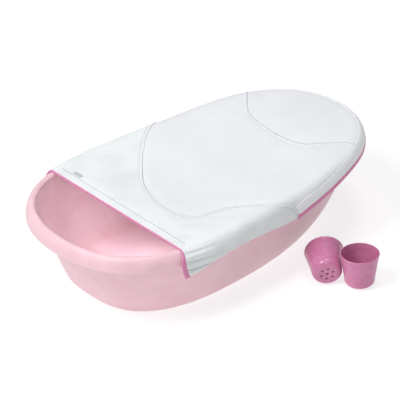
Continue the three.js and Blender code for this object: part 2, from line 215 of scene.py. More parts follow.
def new_object(name, vertices, faces, uvs=None, smooth=True):
    mesh = bpy.data.meshes.new(name)
    mesh.from_pydata([tuple(v) for v in vertices], [], faces)
    mesh.update()
    if uvs is not None:
        layer = mesh.uv_layers.new(name="cloth")
        loops = np.empty(len(mesh.loops), int)
        mesh.loops.foreach_get("vertex_index", loops)
        layer.data.foreach_set("uv", np.asarray(uvs, float)[loops].ravel())
    mesh.polygons.foreach_set("use_smooth", [smooth] * len(mesh.polygons))
    piece = bpy.data.objects.new(name, mesh)
    bpy.context.scene.collection.objects.link(piece)
    return piece


def skin_rings(name, rings, uvs=None):
    """A closed body through rings of equal length. A ring of one point closes an end."""
    starts = np.cumsum([0] + [len(r) for r in rings])
    faces = []
    for i in range(len(rings) - 1):
        low, high = len(rings[i]), len(rings[i + 1])
        for j in range(max(low, high)):
            k = (j + 1) % max(low, high)
            a, b = starts[i] + j % low, starts[i] + k % low
            d, c = starts[i + 1] + j % high, starts[i + 1] + k % high
            if low == 1:
                faces.append((a, c, d))
            elif high == 1:
                faces.append((a, b, c))
            else:
                faces.append((a, b, c, d))
    return new_object(name, np.vstack(rings), [tuple(int(v) for v in f) for f in faces], uvs)


def circle(radius, z, angle, x=0.0):
    """Points round a vertical axis that stands at x, at the given angles."""
    return np.column_stack([x + radius * np.cos(angle), radius * np.sin(angle), np.full(len(angle), z)])


def turned(name, profile, sides, place=(0, 0, 0)):
    """A lathed body about Z from a (radius, z) profile that starts and ends on the axis."""
    angle = np.linspace(0, 2 * np.pi, sides + 1)[:-1]
    rings = []
    for radius, z in profile:
        rings.append(circle(radius, z, angle) if radius else np.array([[0, 0, z]]))
    piece = skin_rings(name, rings)
    piece.data.transform(Matrix.Translation(place))
    return piece


def arc(centre, radii, first, last, steps):
    """Points of an elliptic arc in a section, with angles in degrees."""
    angles = np.radians(np.linspace(first, last, steps + 1))
    return [(centre[0] + radii[0] * math.cos(a), centre[1] + radii[1] * math.sin(a)) for a in angles]


def foot_of(node):
    """The middle of a node's box, at its lower face."""
    low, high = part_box(node)
    return (low.x + high.x) / 2, (low.y + high.y) / 2, low.z


def finish_piece(piece, body, slot, material, *nodes):
    piece.data.materials.clear()
    piece.data.materials.append(material)
    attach(piece, body)
    if nodes:
        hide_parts(*nodes)
    return piece


# ------------------------------------------------------------------ cloth patches

# The sling's pattern is drawn flat: inside the crease ring it is the plan, and beyond the ring a
# point lies as far out along the ring's normal as the cloth runs over the rim and down.
ARC_LENGTH = 34 * MM
FLAT_RUN = CREASE - RIM_CREST
STRAIGHT = SKIRT_DEPTH - SKIRT_STRAIGHT
FINE = 4  # points of the crease ring to each station
BATCH = 2000  # points whose nearest neighbour is looked for at a time
_fine = np.arange(STATIONS * FINE) / FINE
CREASE_RING = np.stack([at_station(RIM_LINE, _fine), at_station(OUTWARD, _fine)])
CREASE_RING[0] -= CREASE_RING[1] * CREASE


def smoothstep(x, low, high):
    t = np.clip((np.asarray(x) - low) / (high - low), 0, 1)
    return t * t * (3 - 2 * t)


def head_puff(x):
    return HEAD_PUFF * smoothstep(x, PUFF_START, PUFF_END)


def hem_at(x):
    """The hem's depth below the crest."""
    places, depths = np.array(HEM_LINE, float).T * MM
    dense = np.linspace(places[0], places[-1], 400)
    soft = np.convolve(np.pad(np.interp(dense, places, depths), 15, "edge"), np.ones(31) / 31, "valid")
    return np.interp(x, dense, soft)


def turn_depth(x):
    """How far below the crest the cloth has turned upright."""
    return np.minimum(STRAIGHT, hem_at(x) - 5 * MM)


def hem_run(x):
    """How far the cloth runs from the crease ring to the hem."""
    return FLAT_RUN + ARC_LENGTH + hem_at(x) - turn_depth(x)


def nearest(points, others):
    """For each point, which of the others lies nearest, and how far away."""
    index, away = np.empty(len(points), int), np.empty(len(points))
    for low in range(0, len(points), BATCH):
        squared = ((points[low : low + BATCH, None] - others[None]) ** 2).sum(-1)
        index[low : low + BATCH] = squared.argmin(1)
        away[low : low + BATCH] = np.sqrt(squared.min(1))
    return index, away


def station_of(plan):
    """The nearest station of the crease ring to each flat point, and the distance beyond it."""
    ring, normal = CREASE_RING
    near, _ = nearest(plan, ring)
    tangent = np.stack([-normal[near][:, 1], normal[near][:, 0]], -1)
    offset = plan - ring[near]
    spacing = np.linalg.norm(np.roll(ring, -1, 0)[near] - ring[near], axis=1)
    return (near + (offset * tangent).sum(1) / spacing) / FINE, (offset * normal[near]).sum(1)


def station_at(point):
    return station_of(np.asarray(point)[None])[0][0]


RING_ANGLE = np.unwrap(np.arctan2(CREASE_RING[0][:, 1], CREASE_RING[0][:, 0]))
RING_REACH = np.linalg.norm(CREASE_RING[0], axis=1)


def inner_height(plan, lift):
    angle = np.mod(np.arctan2(plan[:, 1], plan[:, 0]) - RING_ANGLE[0], 2 * np.pi) + RING_ANGLE[0]
    share = np.linalg.norm(plan, axis=1) / np.interp(angle, RING_ANGLE, RING_REACH, period=2 * np.pi)
    slack = smoothstep(plan[:, 0], FRONT_EDGE, FRONT_EDGE + SAG_START)
    x = plan[:, 0]
    return crest_at(x) + lift + head_puff(x) - SAG * slack * np.clip(1 - share**2, 0, 1)


def rim_section(station, beyond, lift):
    """Points of the cloth over the rim, at a distance beyond the crease ring."""
    x = at_station(RIM_LINE, station)[:, 0]
    puff, low = head_puff(x), turn_depth(x)
    share = np.clip((beyond - FLAT_RUN) / ARC_LENGTH, 0, 1)
    turn = share * np.pi / 2
    on_flat = np.minimum(beyond, FLAT_RUN) - CREASE
    out = np.where(share > 0, (RIM_CREST + lift + ELASTIC_ROOM) * np.sin(turn) - RIM_CREST, on_flat)
    up = (low + lift + puff) * np.cos(turn) - low - np.maximum(beyond - FLAT_RUN - ARC_LENGTH, 0)
    return rim_point(station, out, up)


def lifted(plan, lift):
    """The cloth's place in space for flat points of any array shape."""
    flat = np.asarray(plan, float).reshape(-1, 2)
    lift = np.broadcast_to(np.asarray(lift, float), np.shape(plan)[:-1]).reshape(-1)
    station, beyond = station_of(flat)
    inside = np.column_stack([flat, inner_height(flat, lift)])
    over_rim = rim_section(station, beyond, lift)
    return np.where(beyond[:, None] < 0, inside, over_rim).reshape(*np.shape(plan)[:-1], 3)


def flat_at(station, beyond):
    """The flat point that lies some way beyond the crease ring."""
    out = (np.asarray(beyond) - CREASE)[..., None]
    return at_station(RIM_LINE, station) + at_station(OUTWARD, station) * out


def normals_of(grid):
    along = np.gradient(grid, axis=0)
    across = np.gradient(grid, axis=1)
    normal = np.cross(along, across)
    return normal / np.maximum(np.linalg.norm(normal, axis=-1, keepdims=True), 1e-12)


def curve_at(points, t):
    """Points at shares t of a polyline's length."""
    points = np.asarray(points, float)
    along = distances_along(points)
    return columns_at(np.asarray(t) * along[-1], along, points)


def length_of(points):
    return np.linalg.norm(np.diff(points, axis=0), axis=1).sum()


# The grid's first lines from a sewn edge, where the cloth rounds over.
EDGE_LINES = np.array([0, 0.5, 1.1, 2, 3.4]) * MM


def shares(length, step, inset=0):
    """Shares of a side's length for the grid's lines, closer together near its ends."""
    first = EDGE_LINES[EDGE_LINES < length / 3] + inset
    count = max(2, math.ceil((length - 2 * first[-1]) / step) + 1)
    middle = np.linspace(first[-1], length - first[-1], count)[1:-1]
    return np.concatenate([first, middle, length - first[::-1]]) / length


def border_distance(grid, axis):
    """How far each grid point is, along its grid line, from the nearer end of that line."""
    steps = np.linalg.norm(np.diff(grid, axis=axis), axis=-1)
    start = np.zeros_like(steps.take([0], axis))
    along = np.concatenate([start, np.cumsum(steps, axis=axis)], axis=axis)
    return np.minimum(along, along.take([-1], axis) - along)


def patch(foot, head, near, far, step, inset=0):
    """A grid of flat points between four border curves. near and far run from foot to head."""
    across = max(length_of(foot), length_of(head))
    middle = curve_at(head, [0.5]) - curve_at(foot, [0.5])
    along = max(length_of(near), length_of(far), np.linalg.norm(middle))
    u, v = shares(across, step, inset), shares(along, step, inset)
    at_foot, at_head = curve_at(foot, u)[None], curve_at(head, u)[None]
    at_near, at_far = curve_at(near, v)[:, None], curve_at(far, v)[:, None]
    u, v = u[None, :, None], v[:, None, None]
    grid = (1 - v) * at_foot + v * at_head + (1 - u) * at_near + u * at_far
    grid -= (1 - u) * (1 - v) * foot[0] + u * (1 - v) * foot[-1] + (1 - u) * v * head[0] + u * v * head[-1]
    return grid, np.minimum(border_distance(grid, 0), border_distance(grid, 1))


def cloth_body(name, grid, rim, low, high, relief=0, edge=0.3):
    """A closed body of cloth over a flat grid, between two levels, thinner at its sewn edges."""
    under = lifted(grid, low)
    full = lifted(grid, high)
    swell = edge + (1 - edge) * np.sqrt(1 - (1 - np.clip(rim / (1.6 * MM), 0, 1)) ** 2)
    normal = normals_of(full)
    facing = np.sign(((full - under) * normal).sum(-1).mean())
    over = under + (full - under) * swell[..., None]
    over = over + normal * facing * np.asarray(relief)[..., None] * np.clip(rim / (3 * MM), 0, 1)[..., None]
    m, n = rim.shape
    index = np.arange(m * n).reshape(m, n)
    top = np.stack([index[:-1, :-1], index[:-1, 1:], index[1:, 1:], index[1:, :-1]], -1).reshape(-1, 4)
    border = np.concatenate([index[0, :-1], index[:-1, -1], index[-1, :0:-1], index[:0:-1, 0]])
    after = np.roll(border, -1)
    wall = np.stack([border, after, after + m * n, border + m * n], -1)
    if facing > 0:
        top, wall = top[:, ::-1], wall[:, ::-1]
    faces = np.concatenate([top, top[:, ::-1] + m * n, wall[:, ::-1]]).tolist()
    points = np.concatenate([over.reshape(-1, 3), under.reshape(-1, 3)])
    flat = np.concatenate([grid.reshape(-1, 2)] * 2) / MM
    piece = new_object(name, points, faces, flat)
    merge(piece)
    return piece


def merge(piece, distance=2e-6):
    """Joins corners that fall together, and turns the faces outwards."""
    made = bmesh.new()
    made.from_mesh(piece.data)
    bmesh.ops.remove_doubles(made, verts=made.verts, dist=distance)
    bmesh.ops.dissolve_degenerate(made, dist=distance, edges=made.edges)
    bmesh.ops.recalc_face_normals(made, faces=made.faces)
    made.to_mesh(piece.data)
    made.free()


# ------------------------------------------------------------------ the sling's seams, drawn flat

def near_station(x):
    """The near side's station at a place along the rim."""
    half = RIM_LINE[STATIONS // 2 :]
    return STATIONS // 2 + np.interp(x, half[:, 0], np.arange(len(half)))


def front_edge(beyond):
    """The flat point of the near front edge, some way beyond the crease ring."""
    tried = near_station(FRONT_EDGE) + np.linspace(-8, 8, 81)
    x = rim_section(tried, np.full(len(tried), beyond), CLOTH_GAP + CLOTH)[:, 0]
    return flat_at(np.interp(FRONT_EDGE + swing(beyond), x, tried), beyond)


def swing(beyond):
    return SWING * np.clip((np.asarray(beyond) - 38 * MM) / (38 * MM), 0, 1.1) ** 1.7


def mirror(points):
    return np.asarray(points) * [1, -1]


CUT_POINTS = 1601  # points of a curve among which a cut is looked for


def pad_reach(station):
    """How far the padded panels reach beyond the crease ring."""
    places, reach = np.array(PAD_REACH, float).T * MM
    return np.interp(at_station(RIM_LINE, station)[..., 0], places, reach)


def within(curve, reach, count=CUT_POINTS):
    """The part of a flat curve that lies inside a line, which reach gives for each station."""
    dense = curve_at(curve, np.linspace(0, 1, count))
    station, beyond = station_of(dense)
    keep = np.where(beyond < reach(station))[0]
    return dense[keep[0] : keep[-1] + 1]


def within_pad(curve):
    return within(curve, pad_reach)


def within_ring(curve):
    return within(curve, np.zeros_like, 801)


def cut_at(curve, point):
    """The two parts of a curve on either side of its place nearest to a point."""
    dense = curve_at(curve, np.linspace(0, 1, CUT_POINTS))
    i = np.linalg.norm(dense - point, axis=1).argmin()
    return dense[: i + 1], dense[i:]


FRONT_TURN = 22 * MM  # where a side seam starts, beyond the crease ring


def sewn_side(inner, over):
    """One side's seam from the front edge to the hem, as if it were the near side's."""
    return smooth_curve(np.vstack([
        front_edge(FRONT_TURN) / MM,
        front_edge(FRONT_TURN - 13 * MM) / MM + [9, 1],
        inner,
        [flat_at(near_station(x * MM), w * MM) / MM for x, w in over],
        flat_at(near_station(HEM_END), hem_run(HEM_END)) / MM,
    ]), 400)


def parted(seam, joint):
    """A side seam cut at the front hem, at the padded panel's seam and at the padding's edge."""
    at_hem = seam[np.abs(seam[:100, 0] - HEM_X).argmin()]
    to_hem, rest = cut_at(seam, at_hem)
    to_pad, behind = cut_at(rest, joint)
    to_band = within_pad(behind)
    return to_hem, to_pad, behind, to_band, cut_at(behind, to_band[-1])[1]


def ring_arc(first, last, reach=True, count=240):
    station = np.linspace(first, last, count)
    return flat_at(station, pad_reach(station) if reach else np.zeros(count))


def with_ring(side, end, reach=True):
    """A side border, carried on along the rim to the station of another point."""
    return np.vstack([side, ring_arc(station_at(side[-1]), station_at(end), reach)[1:]])


def hem_flat(first, last, count):
    """Flat points of the hem between two stations."""
    station = np.linspace(first, last, count)
    return flat_at(station, hem_run(at_station(RIM_LINE, station)[:, 0]))


HEM_X = FRONT_EDGE + FRONT_HEM
NEAR_SEAM = sewn_side(NEAR_INNER, NEAR_OVER)
FAR_SEAM = mirror(sewn_side(FAR_INNER, FAR_OVER))
PAD_LINE = smooth_curve(PAD_SEAM, 200)
HEAD_LINE = within_pad(smooth_curve(HEAD_SEAM, 200))
PAD_LINE[0] = NEAR_SEAM[np.linalg.norm(NEAR_SEAM - PAD_LINE[0], axis=1).argmin()]
PAD_LINE[-1] = FAR_SEAM[np.linalg.norm(FAR_SEAM - PAD_LINE[-1], axis=1).argmin()]
NEAR_TO_HEM, NEAR_TO_PAD, NEAR_BEHIND, NEAR_TO_BAND, NEAR_OVER_RIM = parted(NEAR_SEAM, PAD_LINE[0])
FAR_TO_HEM, FAR_TO_PAD, FAR_BEHIND, FAR_TO_BAND, FAR_OVER_RIM = parted(FAR_SEAM, PAD_LINE[-1])
HEM_FOLD = np.array([NEAR_TO_PAD[0], FAR_TO_PAD[0]])

NEAR_SIDE = with_ring(NEAR_TO_BAND, HEAD_LINE[0])
FAR_SIDE = with_ring(FAR_TO_BAND, HEAD_LINE[-1])
HEAD_ARC = ring_arc(station_at(HEAD_LINE[0]), station_at(HEAD_LINE[-1]) + STATIONS)
BAND_LINE = ring_arc(station_at(NEAR_TO_BAND[-1]), station_at(FAR_TO_BAND[-1]) + STATIONS, count=400)
# The foam and the lining stop short of the rim.
_head = within_ring(HEAD_LINE)
LAYER_BORDERS = (
    PAD_LINE, _head,
    with_ring(within_ring(NEAR_TO_BAND), _head[0], False),
    with_ring(within_ring(FAR_TO_BAND), _head[-1], False),
)

HEM_STATION = near_station(HEM_END)
BAND_HEM = hem_flat(HEM_STATION, 2 * STATIONS - HEM_STATION, 400)
CORNER_EDGE = np.array([front_edge(w) for w in np.linspace(FRONT_TURN, hem_run(FRONT_EDGE), 40)])
SIDE_HEM = hem_flat(station_at(CORNER_EDGE[-1]), HEM_STATION, 160)
FRONT_LINE = np.array([front_edge(w) for w in np.linspace(FRONT_TURN, 0, 20)])
FRONT_LINE = np.vstack([FRONT_LINE, mirror(FRONT_LINE)[::-1]])


# ------------------------------------------------------------------ materials

class Look:
    """A node-based material with a few shorthand calls."""

    def __init__(self, name, roughness, specular=0.5):
        self.material = bpy.data.materials.new(name)
        self.material.use_nodes = True
        self.tree = self.material.node_tree
        self.shader = self.tree.nodes["Principled BSDF"]
        self.shader.inputs["Roughness"].default_value = roughness
        self.shader.inputs["Specular IOR Level"].default_value = specular

    def put(self, socket, value):
        if isinstance(value, bpy.types.NodeSocket):
            self.tree.links.new(value, socket)
        elif isinstance(value, (tuple, list)) and len(value) == 3 and socket.type == "RGBA":
            socket.default_value = (*value, 1)
        else:
            socket.default_value = value

    def node(self, kind, output=0, values=None, **settings):
        made = self.tree.nodes.new("ShaderNode" + kind)
        for key, value in settings.items():
            setattr(made, key, value)
        for key, value in (values or {}).items():
            self.put(made.inputs[key], value)
        return made.outputs[output]

    def math(self, operation, a, b=0.0, c=0.0):
        return self.node("Math", values={0: a, 1: b, 2: c}, operation=operation)

    def mix(self, share, a, b):
        return self.node("Mix", 2, {0: share, 6: a, 7: b}, data_type="RGBA")

    def ramp(self, value, low, high, to_low=0.0, to_high=1.0):
        values = {0: value, 1: low, 2: high, 3: to_low, 4: to_high}
        return self.node("MapRange", values=values, interpolation_type="SMOOTHSTEP")

    def noise(self, scale, detail=3.0):
        place = self.node("TexCoord", "Object")
        return self.node("TexNoise", "Fac", {"Vector": place, "Scale": scale, "Detail": detail})

    def bump(self, height, strength, distance, under=None):
        values = {"Height": height, "Strength": strength, "Distance": distance}
        if under is not None:
            values["Normal"] = under
        return self.node("Bump", values=values)

    def axes(self, source):
        made = self.tree.nodes.new("ShaderNodeSeparateXYZ")
        self.put(made.inputs[0], source)
        return made.outputs

    def painted_edge_highlight(self):
        """1 along convex edges and 0 elsewhere: the mask of a painted highlight."""
        return self.ramp(self.node("NewGeometry", "Pointiness"), 0.51, 0.56)

    def finish(self, colour, roughness=None, normal=None, **others):
        self.put(self.shader.inputs["Base Color"], colour)
        if roughness is not None:
            self.put(self.shader.inputs["Roughness"], roughness)
        if normal is not None:
            self.put(self.shader.inputs["Normal"], normal)
        for key, value in others.items():
            self.put(self.shader.inputs[key.replace("_", " ")], value)
        return self.material


def plastic(name, colour, light, roughness, mottle=0.03, grain=0.05, through=0.1):
    """Satin moulded plastic: faint flow clouds, a fine grained skin and convex edges lightened as a painted
    highlight.
    """
    look = Look(name, roughness)
    clouds = look.noise(9, 4)
    shade = look.ramp(clouds, 0.3, 0.7, 1 - mottle, 1 + mottle)
    tone = look.mix(look.ramp(look.noise(30, 2), 0.35, 0.7, 0, 0.25), colour, light)
    # Convex edges are mixed towards the light colour: a painted highlight.
    tone = look.mix(look.math("MULTIPLY", look.painted_edge_highlight(), 0.35), tone, light)
    tone = look.node("HueSaturation", values={"Color": tone, "Value": shade})
    smear = look.ramp(look.noise(60, 5), 0.3, 0.75, roughness - 0.03, roughness + 0.05)
    skin = look.bump(look.noise(1400, 2), grain, 0.0004)
    skin = look.bump(look.noise(26, 2), 0.015, 0.002, skin)
    glow = {"Subsurface_Weight": through, "Subsurface_Scale": 0.012, "Subsurface_Radius": (1, 0.8, 0.85)}
    return look.finish(tone, smear, skin, **glow)


def rubber(name, colour):
    look = Look(name, 0.75, 0.3)
    dust = look.ramp(look.noise(120, 4), 0.5, 0.8, 0, 0.35)
    tone = look.mix(dust, colour, tuple(min(1, c + 0.12) for c in colour))
    smear = look.ramp(look.noise(60), 0.3, 0.7, 0.65, 0.85)
    return look.finish(tone, smear, look.bump(look.noise(900), 0.15, 0.0005))


def ribbed_mesh(name, colour, shade, pitch, depth=0.18):
    """Close warp-knitted mesh: faint ribs along the sling with a small stagger of pores."""
    look = Look(name, 0.82, 0.25)
    u, v, _ = look.axes(look.node("TexCoord", "UV"))
    sway = look.math("MULTIPLY", look.math("PINGPONG", u, 1.3), 0.35)
    rib = look.math("PINGPONG", look.math("DIVIDE", look.math("ADD", v, sway), pitch), 0.5)
    pore = look.math("PINGPONG", look.math("DIVIDE", u, pitch * 0.8), 0.5)
    weave = look.math("ADD", look.math("MULTIPLY", rib, 1.4), look.math("MULTIPLY", pore, 0.6))
    clouds = look.ramp(look.noise(14, 3), 0.3, 0.7, 0, 0.12)
    mark = look.math("ADD", look.ramp(weave, 0.1, 0.55, depth, 0), clouds)
    tone = look.mix(mark, colour, shade)
    normal = look.bump(weave, 0.3, 0.0004)
    normal = look.bump(look.noise(2200, 1), 0.12, 0.0002, normal)
    return look.finish(tone, None, normal, Sheen_Weight=0.25, Sheen_Roughness=0.4)


def open_mesh(name, thread, gap, hanging_gap_shade):
    """Open knit: slanting rows of bright threads between small pores, which are darker where it hangs upright
    as painted shade.
    """
    look = Look(name, 0.8, 0.25)
    u, v, _ = look.axes(look.node("TexCoord", "UV"))
    slant = look.math("ADD", look.math("MULTIPLY", u, 0.757), look.math("MULTIPLY", v, 0.654))
    along = look.math("SUBTRACT", look.math("MULTIPLY", u, 0.654), look.math("MULTIPLY", v, 0.757))
    bend = look.math("MULTIPLY", look.math("PINGPONG", along, 1.5), 0.5)
    row = look.math("PINGPONG", look.math("DIVIDE", look.math("ADD", slant, bend), 3.0), 0.5)
    cross = look.math("PINGPONG", look.math("DIVIDE", along, 1.5), 0.5)
    weave = look.math("ADD", look.math("MULTIPLY", row, 1.5), look.math("MULTIPLY", cross, 0.5))
    pores = look.ramp(weave, 0.15, 0.6, 1, 0)
    clouds = look.ramp(look.noise(20, 3), 0.3, 0.7, -0.06, 0.1)
    mark = look.node("Clamp", values={0: look.math("ADD", look.math("MULTIPLY", pores, 0.8), clouds)})
    facing = look.axes(look.node("NewGeometry", "Normal"))[2]
    # Pores on upright, hanging cloth take a darker colour: painted shade.
    painted_shade_where_hanging = look.ramp(look.math("ABSOLUTE", facing), 0.25, 0.85, 1, 0)
    tone = look.mix(mark, thread, look.mix(painted_shade_where_hanging, gap, hanging_gap_shade))
    normal = look.bump(weave, 0.6, 0.0008)
    return look.finish(tone, None, normal, Sheen_Weight=0.2, Sheen_Roughness=0.4)


def tape(name, colour, shade, pitch, along):
    """Narrow knitted tape with cross ribs; along is 0 where its length is the UV's first axis."""
    look = Look(name, 0.7, 0.3)
    sides = look.axes(look.node("TexCoord", "UV"))
    rib = look.math("PINGPONG", look.math("DIVIDE", sides[along], pitch), 0.5)
    fleck = look.ramp(look.noise(500, 3), 0.35, 0.75, 0, 0.3)
    mark = look.math("ADD", look.ramp(rib, 0.05, 0.4, 0.35, 0), fleck)
    normal = look.bump(rib, 0.5, 0.0005)
    normal = look.bump(look.noise(1600, 2), 0.2, 0.0003, normal)
    tone = look.mix(mark, colour, shade)
    return look.finish(tone, None, normal, Sheen_Weight=0.35, Sheen_Roughness=0.35)


def thread(name, colour, shade):
    look = Look(name, 0.6, 0.35)
    twist = look.noise(2500, 2)
    tone = look.mix(look.ramp(twist, 0.4, 0.65), colour, shade)
    return look.finish(tone, None, look.bump(twist, 0.4, 0.0002), Sheen_Weight=0.3)


def foam_look(name, colour):
    look = Look(name, 0.9, 0.2)
    cells = look.node("TexVoronoi", "Distance", {"Vector": look.node("TexCoord", "Object"), "Scale": 900})
    tone = look.mix(look.ramp(cells, 0.1, 0.6, 0.3, 0), colour, tuple(c * 0.75 for c in colour))
    return look.finish(tone, None, look.bump(cells, 0.6, 0.0006))


TUB_PINK = plastic("tub_plastic", (0.76, 0.50, 0.555), (0.85, 0.62, 0.67), 0.5, through=0.5)
CUP_PINK = plastic("cup_plastic", (0.53, 0.18, 0.325), (0.62, 0.25, 0.40), 0.27)
FOOT_GREY = rubber("foot_rubber", (0.16, 0.13, 0.14))
PLUG_PINK = rubber("plug_rubber", (0.62, 0.26, 0.38))
WHITE_KNIT = ribbed_mesh("white_mesh", (0.88, 0.90, 0.92), (0.68, 0.72, 0.75), 2.6)
PAD_KNIT = ribbed_mesh("padded_mesh", (0.80, 0.812, 0.838), (0.56, 0.58, 0.62), 4.6, 0.42)
# The third colour is the pores' painted shade where the mesh hangs upright.
MESH_KNIT = open_mesh("grey_mesh", (0.90, 0.925, 0.935), (0.50, 0.55, 0.565), (0.42, 0.47, 0.485))
PINK_TAPE = tape("pink_binding", (0.74, 0.28, 0.48), (0.56, 0.16, 0.33), 1.6, 0)
ELASTIC = tape("elastic", (0.87, 0.86, 0.87), (0.65, 0.65, 0.67), 1.2, 0)
TAG_GREY = tape("grey_tag", (0.52, 0.55, 0.59), (0.40, 0.42, 0.46), 0.7, 1)
# The white thread is coloured mid grey so its stitch rows show as dark lines: painted shade along the
# stitching.
WHITE_THREAD = thread("white_thread", (0.44, 0.47, 0.52), (0.30, 0.33, 0.38))
PINK_THREAD = thread("pink_thread", (0.80, 0.28, 0.50), (0.60, 0.13, 0.33))
SEAM_WHITE = ribbed_mesh("seam_tape", (0.80, 0.83, 0.855), (0.62, 0.66, 0.70), 1.1, 0.3)
FOAM_WHITE = foam_look("foam", (0.86, 0.85, 0.82))


# ------------------------------------------------------------------ tub

def blended(first, second, share):
    return first * (1 - share) + second * share


def tub_rings():
    """The tub's section rings, from the drain's lower edge out, up, over the rim and back inside."""
    drain_x = foot_of("drain_plug")[0]
    angle = np.arctan2(BASE_LINE[:, 1], BASE_LINE[:, 0] - drain_x)

    def drain(radius, z):
        return circle(radius, z, angle, drain_x)

    rings = [drain(DRAIN_RADIUS, 0.6 * MM), drain(DRAIN_RADIUS + 0.6 * MM, 0)]
    edge = wall_ring(0, BASE_RADIUS)
    rings += [blended(rings[-1], edge, share) for share in (0.1, 0.3, 0.55, 0.8, 0.95)]
    for a in np.radians(np.linspace(0, 90, 10)):
        rings.append(wall_ring(BASE_RADIUS * (1 - math.cos(a)), BASE_RADIUS * (1 - math.sin(a))))
    for z in np.linspace(BASE_RADIUS, RIM_HEIGHT - 14 * MM, 14)[1:]:
        rings.append(wall_ring(z, 0))
    section = [(WALL - RIM_WIDTH, -WALL - 6 * MM), (WALL - RIM_WIDTH + 0.6 * MM, -WALL - 3 * MM)]
    middle = (-RIM_CREST, -STRAIGHT)
    section += arc(middle, (RIM_CREST - WALL, STRAIGHT - WALL), 100, 0, 12)
    section += [(-WALL, 1 * MM - SKIRT_DEPTH), (0.7 * MM - WALL, -SKIRT_DEPTH), (-0.8 * MM, -SKIRT_DEPTH)]
    section += [(0, 0.8 * MM - SKIRT_DEPTH), (0, -STRAIGHT - 2 * MM)]
    section += arc(middle, (RIM_CREST, STRAIGHT), 0, 90, 18)
    lip = 5 * MM
    section += arc((lip - RIM_WIDTH, -lip), (lip, lip), 90, 180, 8)
    section += [(-RIM_WIDTH, -8 * MM)]
    rings += [rim_ring(out, up) for out, up in section]
    rings += [wall_ring(LEDGE_HEIGHT + z * MM, WALL + inset * MM) for z, inset in LEDGE_STEPS]
    rings += [wall_ring(z, WALL) for z in np.linspace(LEDGE_HEIGHT - 14 * MM, WALL + FLOOR_RADIUS, 8)[:-1]]
    for a in np.radians(np.linspace(90, 0, 14)):
        rise, inset = FLOOR_RADIUS * (1 - math.cos(a)), FLOOR_RADIUS * (1 - math.sin(a))
        rings.append(wall_ring(WALL + rise, WALL + inset))
    hole = drain(DRAIN_RADIUS + 0.6 * MM, WALL)
    rings += [blended(rings[-1], hole, share) for share in (0.05, 0.2, 0.45, 0.7, 0.9, 1)]
    rings.append(drain(DRAIN_RADIUS, WALL - 0.6 * MM))
    return rings


def ring_body(name, rings):
    """A closed body through a loop of rings: the last one joins the first."""
    count, size = len(rings), len(rings[0])
    i, j = np.meshgrid(np.arange(count), np.arange(size), indexing="ij")
    k, l = (i + 1) % count, (j + 1) % size
    faces = np.stack([i * size + j, i * size + l, k * size + l, k * size + j], -1).reshape(-1, 4)
    return new_object(name, np.vstack(rings), faces.tolist())


tub = ring_body("tub_moulding", tub_rings())
finish_piece(tub, "tub", "tub_plastic", TUB_PINK, "tub_shell")

for node in ("foot_pad_head_near", "foot_pad_head_far", "foot_pad_foot_near", "foot_pad_foot_far"):
    low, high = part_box(node)
    radius, height = (high.x - low.x) / 2, high.z - low.z
    profile = [(0, 0.5 * MM), (3 * MM, 0.5 * MM), (4 * MM, 0)]
    profile += [(radius + x, z) for x, z in arc((-1.1 * MM, 1.1 * MM), (1.1 * MM, 1.1 * MM), -90, 0, 6)]
    profile += [(radius, height - 0.2 * MM), (radius - 0.2 * MM, height), (0, height)]
    pad = turned(node + "_rubber", profile, 72, foot_of(node))
    finish_piece(pad, "tub", "foot_rubber", FOOT_GREY, node)


def plug_profile():
    low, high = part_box("drain_plug")
    flange = (high.x - low.x) / 2
    stem = DRAIN_RADIUS - 0.4 * MM
    seat, top = WALL + 0.3 * MM, high.z
    profile = [(0, 0.8 * MM), (stem - 3 * MM, 0.8 * MM), (stem - 3.6 * MM, -1 * MM), (stem - 1 * MM, -1 * MM)]
    profile += [(stem, 0.2 * MM), (stem, seat - 0.3 * MM), (stem + 0.3 * MM, seat), (flange - 0.4 * MM, seat)]
    profile += arc((flange - 0.9 * MM, seat + 0.8 * MM), (0.9 * MM, 0.8 * MM), -60, 70, 6)
    profile += [(flange - 3 * MM, seat + 2.4 * MM), (10 * MM, seat + 2.8 * MM), (5.6 * MM, seat + 3.4 * MM)]
    profile += [(4.3 * MM, seat + 4.4 * MM), (4.1 * MM, seat + 5.6 * MM), (4.8 * MM, seat + 6.6 * MM)]
    profile += arc((4.2 * MM, top - 1.9 * MM), (1.8 * MM, 1.8 * MM), -10, 80, 7)
    return profile + [(2.6 * MM, top - 0.5 * MM), (0, top - 0.7 * MM)]


plug = turned("drain_plug_rubber", plug_profile(), 96, (foot_of("drain_plug")[0], 0, 0))
finish_piece(plug, "drain_plug", "plug_rubber", PLUG_PINK, "drain_plug")


# ------------------------------------------------------------------ cups

CUP_RIM, CUP_SHOULDER, CUP_HEIGHT = 37.9 * MM, 29.6 * MM, 68 * MM
CUP_EDGE, CUP_WALL = 12 * MM, 2 * MM
STRAINER_RIM = Vector((130.5 * MM, -208.5 * MM, 0))
STRAINER_HEADING = math.radians(54)
HOLE_RADIUS, HOLE_RING, HOLE_COUNT = 2.4 * MM, 12 * MM, 6


